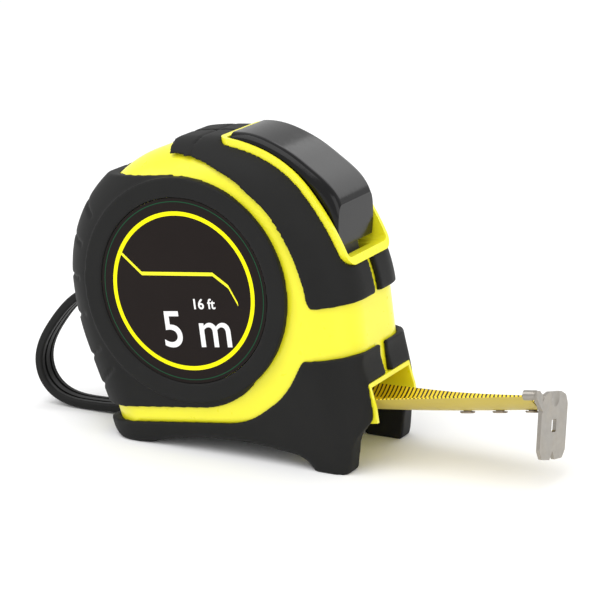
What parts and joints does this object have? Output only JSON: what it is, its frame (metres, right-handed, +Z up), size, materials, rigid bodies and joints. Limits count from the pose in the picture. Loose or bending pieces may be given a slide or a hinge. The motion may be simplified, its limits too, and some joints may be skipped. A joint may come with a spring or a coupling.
{
  "type": "tape measure",
  "caption": "Rubber-jacketed pocket tape measure with a cupped steel blade pulled out through the mouth, sliding end hook, press button lock and wrist strap.",
  "frame": {"origin": "on the ground plane, at the middle of the whole length (strap to hook) and on the middle plane of the case", "axes": "+X along the length towards the end hook, +Y across the case to its left side, +Z up"},
  "size_m": [0.14, 0.038, 0.076],
  "materials": {
    "shell_yellow": "smooth moulded ABS, bright yellow",
    "jacket_rubber": "fine matte overmoulded rubber, black",
    "label_face": "printed polycarbonate disc, black-brown",
    "blade_lacquer": "lacquered spring steel, yellow",
    "hook_steel": "nickel-plated pressed steel, slightly worn",
    "rivet_steel": "plated rivet",
    "screw_steel": "blackened steel screw",
    "pin_steel": "turned steel pin",
    "button_black": "gloss black ABS",
    "lever_plastic": "black acetal",
    "shoe_rubber": "brake rubber",
    "reel_plastic": "white acetal",
    "spring_steel": "blued spring steel",
    "strap_rubber": "moulded soft rubber, black"
  },
  "bodies": {
    "case": {"right_case_shell": "shell_yellow", "left_case_shell": "shell_yellow", "right_ring_grip": "jacket_rubber", "right_sole_grip": "jacket_rubber", "right_top_grip": "jacket_rubber", "right_label": "label_face", "left_ring_grip": "jacket_rubber", "left_sole_grip": "jacket_rubber", "left_top_grip": "jacket_rubber", "left_label": "label_face", "case_screw_front": "screw_steel", "case_screw_rear_low": "screw_steel", "case_screw_rear_top": "screw_steel", "lever_pin": "pin_steel", "button_pin": "pin_steel", "spring_arbor": "pin_steel", "wrist_strap": "strap_rubber"},
    "reel": {"blade_reel": "reel_plastic", "reel_cover": "reel_plastic", "power_spring": "spring_steel", "blade_coil": "blade_lacquer", "blade_lead_in": "blade_lacquer"},
    "blade": {"blade": "blade_lacquer", "hook_rivet_1": "rivet_steel", "hook_rivet_2": "rivet_steel", "hook_rivet_3": "rivet_steel"},
    "hook": {"end_hook": "hook_steel"},
    "button": {"lock_button": "button_black"},
    "lever": {"lock_lever": "lever_plastic", "brake_shoe": "shoe_rubber"}
  },
  "joints": [
    {"name": "reel_spin", "type": "hinge", "parent": "case", "child": "reel", "pos_m": [-0.01675, 0, 0.0394], "axis": [0, -1, 0], "range_deg": [-79, 22], "deforming": ["blade_lead_in"]},
    {"name": "blade_slide", "type": "slide", "parent": "case", "child": "blade", "axis": [0.9921, 0, 0.1253], "range_m": [-0.03546, 0.0099]},
    {"name": "hook_play", "type": "slide", "parent": "blade", "child": "hook", "axis": [0.9921, 0, 0.1253], "range_m": [-0.0008, 0]},
    {"name": "button_press", "type": "hinge", "parent": "case", "child": "button", "pos_m": [-0.00667, 0, 0.06809], "axis": [0, 1, 0], "range_deg": [0, 3], "stiffness_Nm_per_rad": 1, "springref_deg": -6.88},
    {"name": "lever_turn", "type": "hinge", "parent": "case", "child": "lever", "pos_m": [0.01686, 0, 0.04062], "axis": [0, -1, 0], "range_deg": [0, 6]}
  ],
  "couplings": [
    {"joint": "blade_slide", "follows": "reel_spin", "m_per_rad": 0.02565},
    {"joint": "lever_turn", "follows": "button_press", "ratio": 2}
  ]
}
